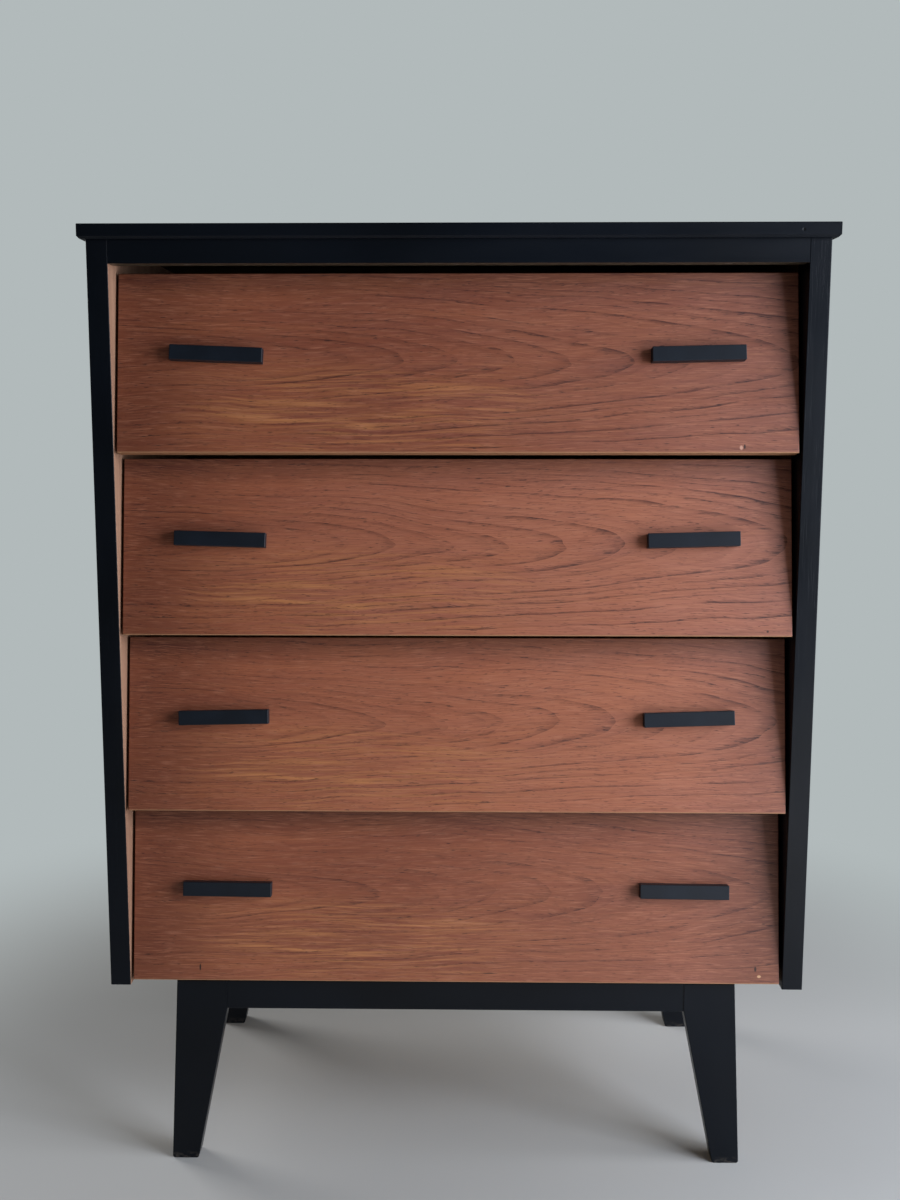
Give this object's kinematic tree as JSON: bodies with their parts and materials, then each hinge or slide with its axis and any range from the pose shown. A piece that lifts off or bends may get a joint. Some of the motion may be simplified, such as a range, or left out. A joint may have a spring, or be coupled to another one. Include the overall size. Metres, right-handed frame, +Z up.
{
  "type": "dresser with drawers",
  "caption": "Mid-century chest with leaning wood drawer fronts, square bar pulls, a black carcass and a black base frame on splayed tapered legs.",
  "frame": {"origin": "on the floor, under the middle of the top board", "axes": "+Z up, -Y out of the drawer fronts, +X to the right as seen from the front"},
  "size_m": [0.776, 0.415, 1.03],
  "materials": {
    "black_paint": "wood painted satin black by roller and brush",
    "teak_veneer": "teak veneer, clear satin oil or lacquer, grain running across",
    "drawer_wood": "planed pale hardwood, unfinished",
    "plywood": "thin plywood, unfinished",
    "carcass_wood": "planed softwood and board, unfinished",
    "hardwood": "planed beech, waxed by use",
    "hardboard": "thin brown hardboard, smooth face out",
    "black_metal": "matt black powder coat",
    "steel": "dull zinc-plated steel"
  },
  "bodies": {
    "carcass": {"top_board": "black_paint", "left_side_panel": "black_paint", "right_side_panel": "black_paint", "bottom_panel": "carcass_wood", "back_panel": "hardboard", "top_front_rail": "black_paint", "top_back_rail": "carcass_wood", "runner_left_1": "hardwood", "runner_right_1": "hardwood", "runner_left_2": "hardwood", "runner_right_2": "hardwood", "runner_left_3": "hardwood", "runner_right_3": "hardwood", "runner_left_4": "hardwood", "runner_right_4": "hardwood", "runner_screws": "steel", "top_screws": "steel", "back_pins": "steel", "leg_front_left": "black_paint", "leg_front_right": "black_paint", "leg_rear_left": "black_paint", "leg_rear_right": "black_paint", "apron_front": "black_paint", "apron_rear": "black_paint", "apron_left": "black_paint", "apron_right": "black_paint", "corner_blocks": "carcass_wood", "base_screws": "steel"},
    "drawer_1": {"drawer_front_1": "teak_veneer", "drawer_side_left_1": "drawer_wood", "drawer_side_right_1": "drawer_wood", "drawer_back_1": "drawer_wood", "drawer_bottom_1": "plywood", "handle_left_1": "black_metal", "handle_right_1": "black_metal", "handle_screws_1": "steel"},
    "drawer_2": {"drawer_front_2": "teak_veneer", "drawer_side_left_2": "drawer_wood", "drawer_side_right_2": "drawer_wood", "drawer_back_2": "drawer_wood", "drawer_bottom_2": "plywood", "handle_left_2": "black_metal", "handle_right_2": "black_metal", "handle_screws_2": "steel"},
    "drawer_3": {"drawer_front_3": "teak_veneer", "drawer_side_left_3": "drawer_wood", "drawer_side_right_3": "drawer_wood", "drawer_back_3": "drawer_wood", "drawer_bottom_3": "plywood", "handle_left_3": "black_metal", "handle_right_3": "black_metal", "handle_screws_3": "steel"},
    "drawer_4": {"drawer_front_4": "teak_veneer", "drawer_side_left_4": "drawer_wood", "drawer_side_right_4": "drawer_wood", "drawer_back_4": "drawer_wood", "drawer_bottom_4": "plywood", "handle_left_4": "black_metal", "handle_right_4": "black_metal", "handle_screws_4": "steel"}
  },
  "joints": [
    {"name": "drawer_1_slide", "type": "slide", "parent": "carcass", "child": "drawer_1", "axis": [0, -1, 0], "range_m": [0, 0.26]},
    {"name": "drawer_2_slide", "type": "slide", "parent": "carcass", "child": "drawer_2", "axis": [0, -1, 0], "range_m": [0, 0.26]},
    {"name": "drawer_3_slide", "type": "slide", "parent": "carcass", "child": "drawer_3", "axis": [0, -1, 0], "range_m": [0, 0.26]},
    {"name": "drawer_4_slide", "type": "slide", "parent": "carcass", "child": "drawer_4", "axis": [0, -1, 0], "range_m": [0, 0.26]}
  ]
}
